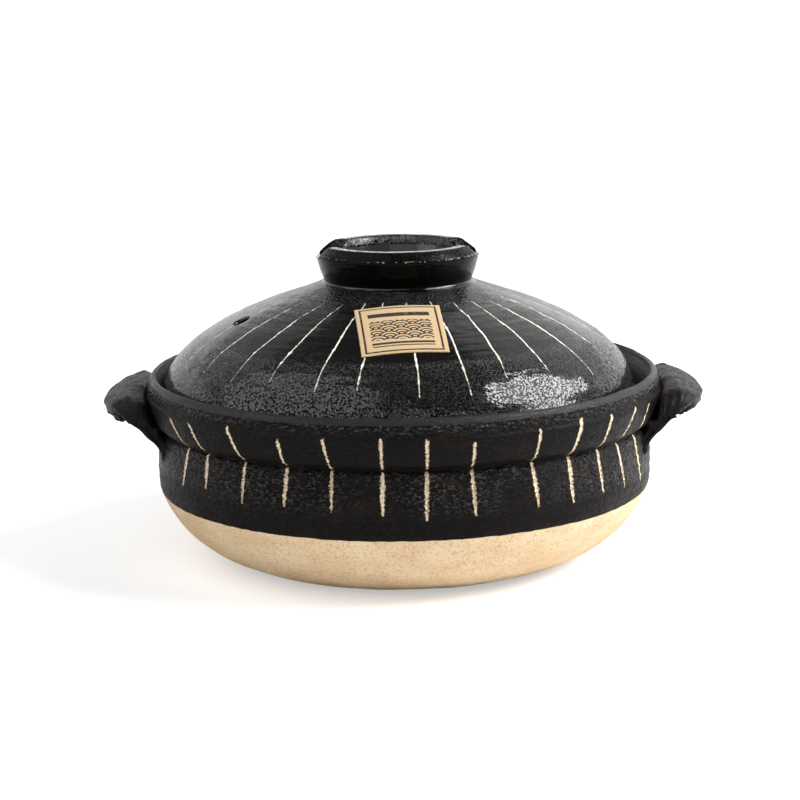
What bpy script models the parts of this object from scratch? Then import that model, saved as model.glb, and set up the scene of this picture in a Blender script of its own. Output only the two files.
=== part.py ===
"""Donabe: a lidded clay pot with two strap handles, a domed lid and a ring knob.

Metres, +Z up. The origin is on the table under the middle of the pot, the front faces -Y
and the handles lie along X. The lid lifts straight up out of its gallery.
"""
import math

import bpy
import bmesh
from mathutils import Matrix, Vector

# Pot body
rim_radius = 0.1310          # outer edge of the lip
rim_height = 0.0947          # top of the lip above the table
lip_thickness = 0.0062       # lip, from the gallery wall to its outer edge
lip_inner_round = 0.0018
lip_outer_fall = 0.0050      # height over which the lip rounds off outwards
band_swell = 0.0020          # how far the upper band swells past the lip
band_height = 0.0253         # upper band, from the crease under it to the top of the lip
neck_depth = 0.0022          # how far the crease lies inside the belly
belly_inset = 0.0035         # widest ring of the belly, inside the lip's outer edge
belly_height = 0.0470        # height of the widest ring of the belly
foot_inset = 0.0437          # edge of the flat that stands on the table, inside the belly
wall_thickness = 0.0095
floor_thickness = 0.0095
ledge_depth = 0.0160         # ledge that carries the lid, below the top of the lip
ledge_width = 0.0170         # ledge, from the gallery wall inwards
ledge_thickness = 0.0110

# Lid
lid_gap = 0.0035             # room between the lid and the gallery wall, when centred
lid_shift = -0.0025          # the lid lies a little towards the left handle
lid_edge_rise = 0.0100       # widest ring of the lid, above its seat
lid_seat_inset = 0.0050      # seat's outer edge, inside the widest ring
lid_seat_width = 0.0060
lid_rise = 0.0612            # pad under the knob, above the lid's seat
lid_wall = 0.0080
steam_hole_diameter = 0.0085
steam_hole_inset = 0.0393    # middle of the hole, inside the widest ring of the lid
steam_hole_angle = 196.0     # degrees round from +X, seen from above

# Knob, a ring with two notches along the handles' line
knob_radius = 0.0420         # widest ring
knob_flare = 0.0040          # how far the widest ring stands out past the base
knob_crest_inset = 0.0022    # crest, inside the widest ring
knob_height = 0.0188
knob_bevel_height = 0.0070   # from the widest ring up to the crest
knob_top_wall = 0.0085
knob_base_wall = 0.0110
notch_width = 0.0240         # across its floor
notch_flare = 0.0050         # how much further each of its sides reaches at the crest
notch_depth = 0.0050

# Handles
handle_reach = 0.0232        # how far a handle stands out past the lip
handle_length = 0.0860       # along the rim, over both legs
handle_drop = 0.0030         # top of the handle, below the top of the lip
tab_thickness = 0.0112
leg_thickness = 0.0100
leg_foot_drop = 0.0110       # where a leg lands on the belly, below the crease
tab_slope = 21.0             # degrees, falling outwards
tab_root = 0.0020            # how far the tab's root lies inside the lip's outer edge

# Paper label on the lid's front slope
label_width = 0.0418
label_length = 0.0438        # down the slope
label_thickness = 0.0004
label_inset = 0.0493         # middle of the label, inside the widest ring of the lid
label_angle = 271.4          # degrees round from +X
label_turn = 4.2             # degrees, turned in its own plane

# Clearances between pieces that touch
seam = 0.0003

# Fineness
body_steps = 64              # faces around the pot and the lid
knob_steps = 56
hole_steps = 24
profile_steps = 2            # steps between two points of a profile
strap_steps = 3              # steps between two stations of a handle
corner_steps = 3             # steps around each rounded corner of a handle
label_steps = 7              # squares along each side of the label
overlap = 0.0100             # how far a cutter runs past what it cuts

# Sizes that follow from the ones above
neck_height = rim_height - band_height
belly_radius = rim_radius - belly_inset
foot_radius = belly_radius - foot_inset
gallery_radius = rim_radius - lip_thickness
ledge_height = rim_height - ledge_depth
ledge_radius = gallery_radius - ledge_width
lid_radius = gallery_radius - lid_gap
seat_height = ledge_height + seam
pad_height = seat_height + lid_rise
steam_hole_radius = lid_radius - steam_hole_inset
label_radius = lid_radius - label_inset
knob_base_radius = knob_radius - knob_flare
knob_crest_radius = knob_radius - knob_crest_inset
knob_base_height = pad_height + seam
knob_crest_height = knob_base_height + knob_height


def material(name, colour, roughness, metallic=0.0):
    made = bpy.data.materials.new(name)
    made.use_nodes = True
    shader = made.node_tree.nodes["Principled BSDF"]
    shader.inputs["Base Color"].default_value = (*colour, 1.0)
    shader.inputs["Roughness"].default_value = roughness
    shader.inputs["Metallic"].default_value = metallic
    made.diffuse_color = (*colour, 1.0)
    return made


def smooth_path(points, per_span):
    """Catmull-Rom curve through the points, with per_span steps between neighbours."""
    points = [Vector(point) for point in points]
    padded = [2 * points[0] - points[1], *points, 2 * points[-1] - points[-2]]
    path = []
    for before, start, end, after in zip(padded, padded[1:], padded[2:], padded[3:]):
        for step in range(per_span):
            t = step / per_span
            path.append(0.5 * (2 * start + (end - before) * t
                               + (2 * before - 5 * start + 4 * end - after) * t ** 2
                               + (3 * start - before - 3 * end + after) * t ** 3))
    path.append(points[-1])
    return [tuple(point) for point in path]


def arc(centre, radii, start, end, steps):
    """Points on an ellipse in the profile's plane, angles in degrees from outwards to up."""
    path = []
    for step in range(steps + 1):
        angle = math.radians(start + (end - start) * step / steps)
        path.append((centre[0] + radii[0] * math.cos(angle), centre[1] + radii[1] * math.sin(angle)))
    return path


def pot_outline():
    """Outer side of the pot, from the top of the lip down to the edge of the foot."""
    lip_foot = rim_height - lip_outer_fall
    lip_reach = lip_thickness - lip_inner_round
    lip = arc((rim_radius - lip_reach, lip_foot), (lip_reach, lip_outer_fall), 90, 12, 4)
    band_radius = rim_radius + band_swell
    band_middle = neck_height + 0.56 * (rim_height - neck_height)
    neck_radius = belly_radius - neck_depth
    swell = band_radius - neck_radius
    flare = belly_radius - foot_radius
    side = smooth_path([
        lip[-1],
        (band_radius - 0.25 * band_swell, band_middle + 0.45 * (lip_foot - band_middle)),
        (band_radius, band_middle),
        (neck_radius + 0.62 * swell, neck_height + 0.32 * (band_middle - neck_height)),
        (neck_radius, neck_height),
    ], profile_steps)
    belly = smooth_path([
        (neck_radius, neck_height),
        (neck_radius + 0.62 * neck_depth, neck_height - 0.16 * (neck_height - belly_height)),
        (belly_radius, belly_height),
        (foot_radius + 0.965 * flare, 0.72 * belly_height),
        (foot_radius + 0.765 * flare, 0.40 * belly_height),
        (foot_radius + 0.490 * flare, 0.180 * belly_height),
        (foot_radius + 0.200 * flare, 0.048 * belly_height),
        (foot_radius, 0.0),
    ], profile_steps)
    return lip + side[1:] + belly[1:]


def pot_lining():
    """Inner side of the pot, from the middle of the floor up to the gallery's lip."""
    inner_belly = belly_radius - wall_thickness
    ledge_bottom = ledge_height - ledge_thickness
    floor_edge = foot_radius - 0.2 * wall_thickness
    flare = inner_belly - floor_edge
    rise = belly_height - floor_thickness
    bowl = smooth_path([
        (floor_edge, floor_thickness),
        (floor_edge + 0.52 * flare, floor_thickness + 0.16 * rise),
        (floor_edge + 0.85 * flare, floor_thickness + 0.47 * rise),
        (inner_belly, belly_height),
        (ledge_radius + 0.62 * (inner_belly - ledge_radius),
         belly_height + 0.62 * (ledge_bottom - belly_height)),
        (ledge_radius, ledge_bottom),
    ], profile_steps)
    ledge = [
        (ledge_radius, ledge_height - 0.12 * ledge_thickness),
        (ledge_radius + 0.12 * ledge_thickness, ledge_height),
        (gallery_radius - 0.10 * ledge_width, ledge_height),
        (gallery_radius, ledge_height + 0.10 * ledge_depth),
    ]
    lip_middle = (gallery_radius + lip_inner_round, rim_height - lip_inner_round)
    lip = arc(lip_middle, (lip_inner_round, lip_inner_round), 180, 120, 2)
    return [(0.0, floor_thickness)] + bowl + ledge + lip


def offset(path, distance):
    """The path moved sideways by a distance, outwards on a side that runs down."""
    moved = []
    for index, (radius, height) in enumerate(path):
        before = path[max(index - 1, 0)]
        after = path[min(index + 1, len(path) - 1)]
        run, fall = after[0] - before[0], after[1] - before[1]
        length = math.hypot(run, fall)
        moved.append((radius - fall / length * distance, height + run / length * distance))
    return moved


def dome_outline():
    """Outer side of the lid, from the pad's edge down to the widest ring."""
    edge_height = seat_height + lid_edge_rise
    rise = pad_height - edge_height
    span = lid_radius - knob_base_radius
    return smooth_path([
        (knob_base_radius + 0.0005, pad_height),
        (knob_base_radius + 0.155 * span, edge_height + 0.905 * rise),
        (knob_base_radius + 0.350 * span, edge_height + 0.798 * rise),
        (knob_base_radius + 0.545 * span, edge_height + 0.668 * rise),
        (knob_base_radius + 0.700 * span, edge_height + 0.538 * rise),
        (knob_base_radius + 0.835 * span, edge_height + 0.385 * rise),
        (knob_base_radius + 0.945 * span, edge_height + 0.200 * rise),
        (lid_radius, edge_height),
    ], profile_steps)


def dome_height(radius):
    """Height of the lid's outer side at a distance from its axis."""
    path = dome_outline()
    for (near, high), (far, low) in zip(path, path[1:]):
        if near <= radius <= far:
            return high + (low - high) * (radius - near) / (far - near)
    return pad_height if radius < path[0][0] else path[-1][1]


def dome_slope(radius):
    """Fall of the lid's outer side for each metre outwards."""
    reach = 0.02 * lid_radius
    return (dome_height(radius - reach) - dome_height(radius + reach)) / (2 * reach)


def dome_profile():
    outline = dome_outline()
    edge_height = seat_height + lid_edge_rise
    seat_outer = lid_radius - lid_seat_inset
    seat_inner = seat_outer - lid_seat_width
    rolled = smooth_path([
        (lid_radius, edge_height),
        (lid_radius - 0.22 * lid_seat_inset, seat_height + 0.52 * lid_edge_rise),
        (lid_radius - 0.62 * lid_seat_inset, seat_height + 0.16 * lid_edge_rise),
        (seat_outer, seat_height),
    ], profile_steps)
    hollow = []
    for radius, height in reversed(offset(outline, -lid_wall)):
        if radius < seat_inner - 0.1 * lid_seat_width and height > seat_height + 0.2 * lid_wall:
            hollow.append((radius, height))
    foot = [(seat_inner, seat_height), (seat_inner - 0.12 * lid_seat_width, seat_height + 0.12 * lid_wall)]
    return [(0.0, pad_height)] + outline + rolled[1:] + foot + hollow + [(0.0, pad_height - lid_wall)]


def knob_profile():
    """Closed section of the ring, its outer side first, from the crest down."""
    widest = (knob_radius, knob_crest_height - knob_bevel_height)
    crest = (knob_crest_radius, knob_crest_height)
    outer = [
        (crest[0] - 0.5 * knob_top_wall, knob_crest_height),
        (crest[0] - 0.12 * knob_top_wall, knob_crest_height - 0.04 * knob_bevel_height),
        (crest[0] + 0.55 * (widest[0] - crest[0]), knob_crest_height - 0.40 * knob_bevel_height),
        (widest[0], widest[1] + 0.10 * knob_bevel_height),
        (widest[0] - 0.06 * knob_top_wall, widest[1] - 0.12 * knob_bevel_height),
    ]
    waist = smooth_path([
        outer[-1],
        (knob_base_radius + 0.28 * (knob_radius - knob_base_radius), knob_base_height + 0.22 * knob_height),
        (knob_base_radius, knob_base_height),
    ], profile_steps)
    inner = [
        (knob_base_radius - knob_base_wall, knob_base_height),
        (knob_base_radius - 0.94 * knob_base_wall, knob_base_height + 0.10 * knob_height),
        (crest[0] - 1.10 * knob_top_wall, knob_crest_height - 0.20 * knob_height),
        (crest[0] - 0.88 * knob_top_wall, knob_crest_height - 0.05 * knob_height),
    ]
    return outer + waist[1:] + inner


def link(obj, collection, parent=None):
    collection.objects.link(obj)
    if parent is not None:
        obj.parent = parent
        obj.matrix_parent_inverse = parent.matrix_world.inverted()
    return obj


def turned(name, profile, steps, collection, closed=False):
    """A profile at +X turned about Z. Its outer side runs down."""
    mesh = bpy.data.meshes.new(name)
    count = len(profile)
    edges = [(index, (index + 1) % count) for index in range(count if closed else count - 1)]
    mesh.from_pydata([(radius, 0.0, height) for radius, height in profile], edges, [])
    obj = link(bpy.data.objects.new(name, mesh), collection)
    screw = obj.modifiers.new("turn", "SCREW")
    screw.axis = "Z"
    screw.angle = math.tau
    screw.screw_offset = 0.0
    screw.steps = steps
    screw.render_steps = steps
    screw.use_merge_vertices = True
    screw.merge_threshold = 0.00001
    screw.use_smooth_shade = True
    return obj


def cutter(obj, cutters):
    for collection in list(obj.users_collection):
        collection.objects.unlink(obj)
    cutters.objects.link(obj)
    obj.hide_render = True
    obj.display_type = "WIRE"
    return obj


def cut(obj, tool, name):
    boolean = obj.modifiers.new(name, "BOOLEAN")
    boolean.operation = "DIFFERENCE"
    boolean.solver = "EXACT"
    boolean.object = tool
    return boolean


def strap_stations():
    """Half of a handle's strap, from the foot of a leg up to the middle of the tab.

    Each station holds the middle line's y and z, the strap's inner and outer x,
    its thickness and its tilt in degrees. In the list of shares, out is a share of the
    legs' distance from the middle, up of the climb and reach of the strap's stand-off.
    """
    tip = rim_radius + handle_reach
    tab_top = rim_height - handle_drop
    half = handle_length / 2
    fall = math.tan(math.radians(tab_slope)) * (handle_reach + tab_root) / 2
    tab_middle = tab_top - fall - tab_thickness / 2
    leg_y = half - leg_thickness / 2
    leg_skin = math.sqrt(belly_radius ** 2 - leg_y ** 2)
    landing = neck_height - leg_foot_drop
    climb = tab_middle - landing
    stand = tip - leg_skin
    root = rim_radius - tab_root
    shares = [
        (0.86, -0.12, leg_skin - 0.007, -0.03, 0.90 * leg_thickness, 0.0),
        (0.91, 0.08, leg_skin - 0.004, 0.05, 0.90 * leg_thickness, 0.0),
        (0.96, 0.34, leg_skin - 0.001, 0.17, 0.95 * leg_thickness, 0.0),
        (1.00, 0.60, leg_skin + 0.001, 0.35, leg_thickness, 3.0),
        (1.00, 0.82, root - 0.004, 0.56, 1.05 * leg_thickness, 8.0),
        (0.89, 0.97, root - 0.002, 0.76, 0.95 * tab_thickness, 0.8 * tab_slope),
        (0.62, 1.00, root, 0.91, tab_thickness, tab_slope),
        (0.30, 1.00, root, 0.98, tab_thickness, tab_slope),
        (0.00, 1.00, root, 1.00, tab_thickness, tab_slope),
    ]
    return [(out * leg_y, landing + up * climb, inner, leg_skin + reach * stand, thickness, tilt)
            for out, up, inner, reach, thickness, tilt in shares]


def strap_section(station, along):
    """Rounded section of the strap at a station, across a path that runs along (y, z)."""
    y, z, inner, outer, thickness, tilt = station
    middle = Vector(((inner + outer) / 2, y, z))
    across = Vector((along[1], -along[0])).normalized()
    normal = Vector((0.0, across[0], across[1]))
    lean = math.radians(tilt)
    wide = Vector((math.cos(lean), 0.0, 0.0)) - math.sin(lean) * normal
    thick = math.cos(lean) * normal + Vector((math.sin(lean), 0.0, 0.0))
    half_width = (outer - inner) / 2
    half_thickness = thickness / 2
    corner = min(0.42 * thickness, 0.48 * (outer - inner))
    ring = []
    for turn, (side, face) in enumerate([(1, 1), (-1, 1), (-1, -1), (1, -1)]):
        for step in range(corner_steps + 1):
            angle = math.radians(90 * (turn + step / corner_steps))
            across_width = side * (half_width - corner) + corner * math.cos(angle)
            across_thickness = face * (half_thickness - corner) + corner * math.sin(angle)
            ring.append(middle + wide * across_width + thick * across_thickness)
    return ring


def strap_mesh(name):
    """Loft of the strap's sections, from one leg's foot over the tab to the other's."""
    half = strap_stations()
    stations = half + [(-y, z, *rest) for y, z, *rest in reversed(half[:-1])]
    stations = smooth_path(stations, strap_steps)
    rings = []
    for index, station in enumerate(stations):
        before = stations[max(index - 1, 0)]
        after = stations[min(index + 1, len(stations) - 1)]
        rings.append(strap_section(station, (after[0] - before[0], after[1] - before[1])))
    mesh = bpy.data.meshes.new(name)
    shape = bmesh.new()
    loops = [[shape.verts.new(point) for point in ring] for ring in rings]
    count = len(loops[0])
    for lower, upper in zip(loops, loops[1:]):
        for index in range(count):
            following = (index + 1) % count
            shape.faces.new((lower[index], lower[following], upper[following], upper[index]))
    shape.faces.new(loops[0])
    shape.faces.new(reversed(loops[-1]))
    bmesh.ops.recalc_face_normals(shape, faces=shape.faces)
    shape.to_mesh(mesh)
    shape.free()
    return mesh


def build_pot(parts, cutters, clay):
    body = turned("pot_body", pot_lining() + pot_outline() + [(0.0, 0.0)], body_steps, parts)
    body.data.materials.append(clay)

    outline = offset(pot_outline(), seam)
    top = (outline[0][0], rim_height + overlap)
    seat = [(0.0, top[1]), top] + outline + [(0.0, outline[-1][1])]
    skin = cutter(turned("handle_seat", seat, body_steps, parts), cutters)
    mesh = strap_mesh("handle_strap")
    mesh.materials.append(clay)
    mesh.shade_smooth()
    for name, turn in (("handle_right", 0.0), ("handle_left", math.pi)):
        handle = link(bpy.data.objects.new(name, mesh), parts)
        handle.rotation_euler.z = turn
        cut(handle, skin, "seat on the pot")


def build_lid(parts, cutters, clay, paper):
    lift = bpy.data.objects.new("lid_lift", None)
    lift.location = (lid_shift, 0.0, 0.0)
    parts.objects.link(lift)
    bpy.context.view_layer.update()

    dome = turned("lid_dome", dome_profile(), body_steps, parts)
    dome.data.materials.append(clay)
    dome.parent = lift

    angle = math.radians(steam_hole_angle)
    hole_place = Vector((steam_hole_radius * math.cos(angle), steam_hole_radius * math.sin(angle),
                         dome_height(steam_hole_radius)))
    lean = math.atan(dome_slope(steam_hole_radius))
    bpy.ops.mesh.primitive_cylinder_add(vertices=hole_steps, radius=steam_hole_diameter / 2,
                                        depth=2 * (lid_wall + overlap))
    drill = bpy.context.object
    drill.name = "steam_drill"
    drill.matrix_world = (Matrix.Translation(hole_place) @ Matrix.Rotation(angle, 4, "Z")
                          @ Matrix.Rotation(lean, 4, "Y"))
    drill.parent = lift
    cut(dome, cutter(drill, cutters), "steam hole")

    knob = turned("lid_knob", knob_profile(), knob_steps, parts, closed=True)
    knob.data.materials.append(clay)
    knob.parent = lift
    bpy.ops.mesh.primitive_cube_add(size=1.0)
    notch = bpy.context.object
    notch.name = "knob_notch"
    notch.data.transform(Matrix.Diagonal((2 * (knob_radius + overlap), notch_width,
                                          2 * notch_depth, 1.0)))
    for corner in notch.data.vertices:
        if corner.co.z > 0.0:
            corner.co.y += math.copysign(2 * notch_flare, corner.co.y)
    notch.location.z = knob_crest_height
    notch.parent = lift
    cut(knob, cutter(notch, cutters), "notches")

    label = link(bpy.data.objects.new("paper_label", label_mesh("paper_label")), parts)
    label.data.materials.append(paper)
    label.parent = lift
    sheet = label.modifiers.new("paper", "SOLIDIFY")
    sheet.thickness = label_thickness
    sheet.offset = 1.0


def label_mesh(name):
    """A rectangle laid on the dome, a seam's width clear of it."""
    mesh = bpy.data.meshes.new(name)
    shape = bmesh.new()
    bmesh.ops.create_grid(shape, x_segments=label_steps, y_segments=label_steps, size=0.5)
    turn = math.radians(label_turn)
    angle = math.radians(label_angle)
    outwards = Vector((math.cos(angle), math.sin(angle), 0.0))
    sideways = Vector((-math.sin(angle), math.cos(angle), 0.0))
    stretch = math.hypot(1.0, dome_slope(label_radius))
    for vert in shape.verts:
        across = vert.co.x * label_width
        down = -vert.co.y * label_length
        across, down = (across * math.cos(turn) + down * math.sin(turn),
                        down * math.cos(turn) - across * math.sin(turn))
        spot = outwards * (label_radius + down / stretch) + sideways * across
        radius = spot.length
        lift = spot.normalized() * dome_slope(radius) + Vector((0.0, 0.0, 1.0))
        vert.co = spot + Vector((0.0, 0.0, dome_height(radius))) + lift.normalized() * seam
    shape.to_mesh(mesh)
    shape.free()
    return mesh


def main():
    for obj in list(bpy.data.objects):
        bpy.data.objects.remove(obj, do_unlink=True)
    parts = bpy.data.collections.new("donabe")
    cutters = bpy.data.collections.new("cutters")
    bpy.context.scene.collection.children.link(parts)
    bpy.context.scene.collection.children.link(cutters)
    clay = material("black glazed clay", (0.020, 0.019, 0.018), 0.35)
    paper = material("kraft paper", (0.60, 0.40, 0.27), 0.85)
    build_pot(parts, cutters, clay)
    build_lid(parts, cutters, clay, paper)


main()
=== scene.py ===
import math
from functools import partial

import bpy
import numpy as np
from mathutils import Matrix, Vector


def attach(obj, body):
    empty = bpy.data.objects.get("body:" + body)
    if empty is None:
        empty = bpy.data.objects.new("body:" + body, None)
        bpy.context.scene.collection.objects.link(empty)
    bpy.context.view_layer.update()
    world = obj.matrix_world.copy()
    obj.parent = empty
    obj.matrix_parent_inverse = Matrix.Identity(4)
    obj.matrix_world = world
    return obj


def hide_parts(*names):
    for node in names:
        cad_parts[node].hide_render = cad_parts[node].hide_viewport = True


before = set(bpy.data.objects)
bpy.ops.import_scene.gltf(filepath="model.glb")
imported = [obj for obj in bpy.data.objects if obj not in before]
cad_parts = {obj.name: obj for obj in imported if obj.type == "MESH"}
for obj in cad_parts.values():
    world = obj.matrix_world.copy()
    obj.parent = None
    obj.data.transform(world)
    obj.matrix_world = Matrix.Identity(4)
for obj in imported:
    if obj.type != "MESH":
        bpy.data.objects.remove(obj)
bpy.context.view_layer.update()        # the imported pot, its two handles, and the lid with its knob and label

mm = 0.001               # every size below is in millimetres, and meshes are made in metres
unscored = 6.0           # distance to the nearest scored mark, given where there is none
print("frame loaded:", ", ".join(sorted(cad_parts)))


# Shapes as arrays

def smoothPath(points, steps):
    # a cubic through each pair of points, leaning as the points before and after them lie
    inner = np.asarray(points, float)
    path = np.vstack([2 * inner[0] - inner[1], inner, 2 * inner[-1] - inner[-2]])
    t = (np.arange(steps) / steps)[None, :, None]
    a, b, c, d = (path[k:len(path) - 3 + k, None, :] for k in range(4))
    spans = 2 * b + (c - a) * t + (2 * a - 5 * b + 4 * c - d) * t ** 2 + (3 * b - a - 3 * c + d) * t ** 3
    return np.vstack([0.5 * spans.reshape(-1, inner.shape[1]), inner[-1:]])


def bend(centre, radii, start, end, steps):
    # an ellipse's points: centre + (radius x cos, radius x sin), angles in degrees
    turn = np.radians(np.linspace(start, end, steps + 1))
    return centre + np.column_stack([np.cos(turn), np.sin(turn)]) * radii


def pathRun(path):
    # distance walked along the path at each of its points
    return np.append(0.0, np.cumsum(np.linalg.norm(np.diff(path, axis=0), axis=1)))


def evenPath(path, step):
    # the same path walked in even steps
    run = pathRun(path)
    places = np.linspace(0.0, run[-1], max(2, int(round(run[-1] / step)) + 1))
    return np.column_stack([np.interp(places, run, values) for values in np.transpose(path)])


def joinPaths(*paths):
    # paths end to end, each point that two of them share kept once
    path = np.vstack(paths)
    return path[np.append(True, np.abs(np.diff(path, axis=0)).max(axis=1) > 1e-6)]


def outwards(path):
    # direction square to the path: its tangent turned a quarter, outwards where the path runs down
    tangent = np.gradient(path, axis=0)
    normal = np.column_stack([-tangent[:, 1], tangent[:, 0]])
    return normal / np.linalg.norm(normal, axis=1, keepdims=True)


def lumps(around, along, turns, rows, seed):
    # smooth random heights from -1 to 1: values on a lattice that closes around, blended between
    lattice = np.random.default_rng(seed).uniform(-1, 1, (rows + 1, turns))
    u = np.mod(around, 1.0) * turns
    v = np.clip(along, 0.0, 0.9999) * rows
    i, j = np.floor(v).astype(int), np.floor(u).astype(int)
    fu, fv = u - j, v - i
    fu, fv = fu * fu * (3 - 2 * fu), fv * fv * (3 - 2 * fv)
    j, k = j % turns, (j + 1) % turns
    low = lattice[i, j] * (1 - fu) + lattice[i, k] * fu
    high = lattice[i + 1, j] * (1 - fu) + lattice[i + 1, k] * fu
    return low * (1 - fv) + high * fv


def rise(value, start, end):
    # 0 before the start, 1 after the end, an S-shaped climb between
    t = np.clip((value - start) / (end - start), 0.0, 1.0)
    return t * t * (3 - 2 * t)


def fall(value, start, reach):
    # 1 before the start, 0 from a reach after it, straight between
    return np.clip(1.0 - (value - start) / reach, 0.0, 1.0)


def gridFaces(rows, columns, closeRows=False):
    # one outward square for each cell of a grid that closes around
    i = np.arange(rows if closeRows else rows - 1)[:, None]
    j = np.arange(columns)[None, :]
    below, beside = (i + 1) % rows, (j + 1) % columns
    cells = [i * columns + j, below * columns + j, below * columns + beside, i * columns + beside]
    return np.stack(cells, axis=-1).reshape(-1, 4).tolist()


def turnedSurface(path, angles, push=None):
    # each path point, pushed along the path's normal, turned about the axis to its angle from the
    # front: x = r sin, y = -r cos
    push = np.zeros_like(angles) if push is None else push
    r, z = np.moveaxis(path[:, None] + outwards(path)[:, None] * push[..., None], 2, 0)
    turn = np.radians(angles)
    return np.stack([r * np.sin(turn), -r * np.cos(turn), z], axis=-1)


def withPoles(grid, first, last):
    # a grid whose two ends close on one point each: its points and its faces
    rows, columns = grid.shape[:2]
    count, j = rows * columns, np.arange(columns)
    beside = np.roll(j, -1)
    top = np.column_stack([0 * j + count, j, beside])
    bottom = np.column_stack([j, 0 * j + columns + 1, beside]) + count - columns
    points = np.vstack([grid.reshape(-1, 3), [first, last]])
    return points, gridFaces(rows, columns) + top.tolist() + bottom.tolist()


def spread(seed, first, last, count, jitter):
    # a way to draw count random numbers between two ends, and as many angles in even steps from
    # first to last, each shifted by up to the jitter
    draw = partial(np.random.default_rng(seed).uniform, size=count)
    return draw, np.linspace(first, last, count) + draw(-1, 1) * jitter


def markColumns(radii, centres, offsets, gaps):
    # angle of each column on each row: a few columns keep fixed distances beside every mark,
    # and the others share the gap to the next mark evenly
    near = centres[:, :, None] + np.degrees(np.array(offsets) / radii[:, None, None])
    start, end = near[:, :, -1], np.roll(near[:, :, 0], -1, axis=1)
    end[:, -1] += 360.0
    columns = []
    for k, gap in enumerate(gaps):
        share = np.arange(1, gap + 1) / (gap + 1)
        columns += [near[:, k, :], start[:, k, None] + (end[:, k] - start[:, k])[:, None] * share]
    return np.concatenate(columns, axis=1)


def markEdge(angles, radii, centres, places, starts, ends, widths):
    # distance outside the nearest mark, negative inside it: the larger of the distance beside
    # its half width and the distance past its ends
    beside = (angles[:, :, None] - centres[:, None, :] + 180.0) % 360.0 - 180.0
    beside = np.abs(np.radians(beside)) * radii[:, None, None]
    past = np.maximum(starts - places[:, None], places[:, None] - ends)
    return np.maximum(beside - widths[:, None, :], past[:, None, :]).min(axis=2)


def addObject(name, data):
    made = bpy.data.objects.new(name, data)
    bpy.context.scene.collection.objects.link(made)
    return made


def addMesh(name, points, faces):
    # a smooth mesh from points in millimetres
    mesh = bpy.data.meshes.new(name)
    mesh.from_pydata((points * mm).tolist(), [], faces)
    mesh.shade_smooth()
    return addObject(name, mesh)


def pieceFrom(name, points, faces, body, materials, replaced, faceSlots=None, scoreEdge=None):
    # a piece with its materials, tied to its body and to the node it stands for
    made = addMesh(name, points, faces)
    mesh = made.data
    if scoreEdge is not None:
        mesh.attributes.new("scoreEdge", "FLOAT", "POINT").data.foreach_set("value", scoreEdge)
    for material in materials:
        mesh.materials.append(material)
    if faceSlots is not None:
        mesh.polygons.foreach_set("material_index", faceSlots)
    mesh.validate()
    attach(made, body)
    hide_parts(replaced)
    print(name, len(mesh.polygons), "faces")
    return made


# Materials as nodes

rgba = {"out": 2, "data_type": "RGBA"}  # what makes a Mix node mix colours


def linear(hexCode):
    # an sRGB hex colour as the linear values that Blender works in
    share = np.array([int(hexCode[k:k + 2], 16) for k in (1, 3, 5)]) / 255.0
    value = np.where(share <= 0.04045, share / 12.92, ((share + 0.055) / 1.055) ** 2.4)
    return (*value.tolist(), 1.0)


def feed(made, feeds):
    # fills a node's sockets, by name or number: with a hex colour, a plain value or (node, output)
    for key, value in feeds.items():
        if isinstance(value, tuple) and isinstance(value[0], bpy.types.Node):
            made.id_data.links.new(value[0].outputs[value[1]], made.inputs[key])
        else:
            made.inputs[key].default_value = linear(value) if isinstance(value, str) else value


def addNode(tree, kind, feeds=(), out=0, **settings):
    # adds a node with its settings and links, and gives it back with the output to use. A Math node's
    # operation follows its kind, and feeds is a list for the first sockets or a dictionary for any.
    kind, *operation = kind.split()
    made = tree.nodes.new("ShaderNode" + kind)
    if operation:
        made.operation = operation[0]
    for key, value in settings.items():
        setattr(made, key, value)
    feed(made, feeds if isinstance(feeds, dict) else dict(enumerate(feeds)))
    return made, out


def startMaterial(name):
    # a new material, and addNode for its own tree
    made = bpy.data.materials.new(name)
    made.use_nodes = True
    return made, partial(addNode, made.node_tree)


def shade(made, colour, roughness, normal, level=0.5, ior=1.5):
    # the material with its shader fed; level is the specular level, 0.5 for a plain dielectric
    feed(made.node_tree.nodes["Principled BSDF"], {
        "Base Color": colour, "Roughness": roughness, "Normal": normal, "IOR": ior,
        "Specular IOR Level": level})
    return made


def objectPlace(add, centre=(0.0, 0.0, 0.0), share=(1.0, 1.0, 1.0)):
    # object coordinates counted from a point in millimetres; a share under 1 draws a pattern out
    moved = tuple(-c * mm * k for c, k in zip(centre, share))
    return add("Mapping", {0: add("TexCoord", out=3), 1: moved, 3: share})


def aroundAxis(add, place, radius):
    # (direction from the axis x radius, distance from it less the height), where a pattern runs
    # around a turned piece with no seam; and the distance alone
    flat = add("VectorMath MULTIPLY", [place, (1.0, 1.0, 0.0)])
    away = add("VectorMath LENGTH", [flat], 1)
    ring = add("VectorMath SCALE", {0: add("VectorMath NORMALIZE", [flat]), 3: radius * mm})
    run = add("CombineXYZ", {2: add("Math SUBTRACT", [away, add("SeparateXYZ", [place], 2)])})
    return add("VectorMath ADD", [ring, run]), away


def patches(add, place, size, low, high, detail=2.0, rough=0.5, least=0.0, most=1.0):
    # soft patches of a size in millimetres: least where noise is under low, most where it is over high
    noise = add("TexNoise", {
        "Vector": place, "Scale": 1.0 / (size * mm), "Detail": detail, "Roughness": rough})
    return add("MapRange", [noise, low, high, least, most], interpolation_type="SMOOTHSTEP")


def blotched(add, place, size, low, high, base, spots, detail=2.0, rough=0.5, most=1.0):
    # a base colour with soft patches of another
    share = patches(add, place, size, low, high, detail, rough, 0.0, most)
    return add("Mix", {0: share, 6: base, 7: spots}, **rgba)


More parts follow.
